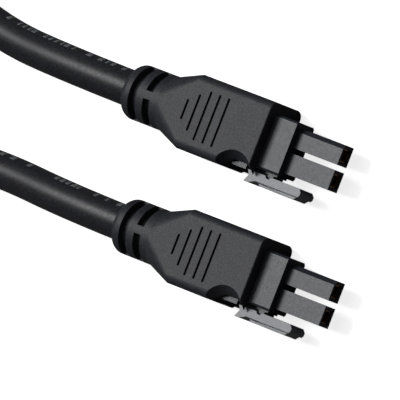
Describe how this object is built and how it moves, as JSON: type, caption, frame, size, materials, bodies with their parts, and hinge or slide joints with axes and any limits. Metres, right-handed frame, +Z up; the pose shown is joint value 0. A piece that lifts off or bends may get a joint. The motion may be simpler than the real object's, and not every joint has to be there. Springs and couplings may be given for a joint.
{
  "type": "two-way power jumper lead",
  "caption": "Thick round cable with a moulded rectangular power plug at each end, each with open contact silos and a rocking side latch.",
  "frame": {"origin": "on the surface under the middle of the first plug's bounding box, cable and second plug left out", "axes": "+X out of the plug towards its mating end, +Y across the plug away from its latch, +Z up"},
  "size_m": [0.291, 0.1256, 0.0162],
  "materials": {
    "overmould_plastic": "fine spark-eroded matt",
    "housing_plastic": "satin",
    "inner_plastic": "matt",
    "retainer_plastic": "satin",
    "contact_metal": "tinned and bare copper alloy",
    "copper_strands": "bunched bare copper",
    "red_insulation": "satin",
    "black_insulation": "satin",
    "cable_jacket": "satin extruded sheath"
  },
  "bodies": {
    "lead": {"near_overmould": "overmould_plastic", "near_inner_moulding": "inner_plastic", "near_terminal_retainer": "retainer_plastic", "near_housing": "housing_plastic", "near_plus_contact": "contact_metal", "near_plus_contact_spring": "contact_metal", "near_plus_core_insulation": "red_insulation", "near_plus_conductor": "copper_strands", "near_minus_contact": "contact_metal", "near_minus_contact_spring": "contact_metal", "near_minus_core_insulation": "black_insulation", "near_minus_conductor": "copper_strands", "far_overmould": "overmould_plastic", "far_inner_moulding": "inner_plastic", "far_terminal_retainer": "retainer_plastic", "far_housing": "housing_plastic", "far_plus_contact": "contact_metal", "far_plus_contact_spring": "contact_metal", "far_plus_core_insulation": "red_insulation", "far_plus_conductor": "copper_strands", "far_minus_contact": "contact_metal", "far_minus_contact_spring": "contact_metal", "far_minus_core_insulation": "black_insulation", "far_minus_conductor": "copper_strands", "cable": "cable_jacket"},
    "near_latch": {"near_latch_lever": "housing_plastic"},
    "far_latch": {"far_latch_lever": "housing_plastic"}
  },
  "joints": [
    {"name": "near_latch_rock", "type": "hinge", "parent": "lead", "child": "near_latch", "pos_m": [0.01795, -0.00805, 0.0081], "axis": [0, 0, -1], "range_deg": [0, 8], "stiffness_Nm_per_rad": 0.4},
    {"name": "far_latch_rock", "type": "hinge", "parent": "lead", "child": "far_latch", "pos_m": [0.03155, -0.04415, 0.0081], "axis": [0, 0, -1], "range_deg": [0, 8], "stiffness_Nm_per_rad": 0.4}
  ]
}
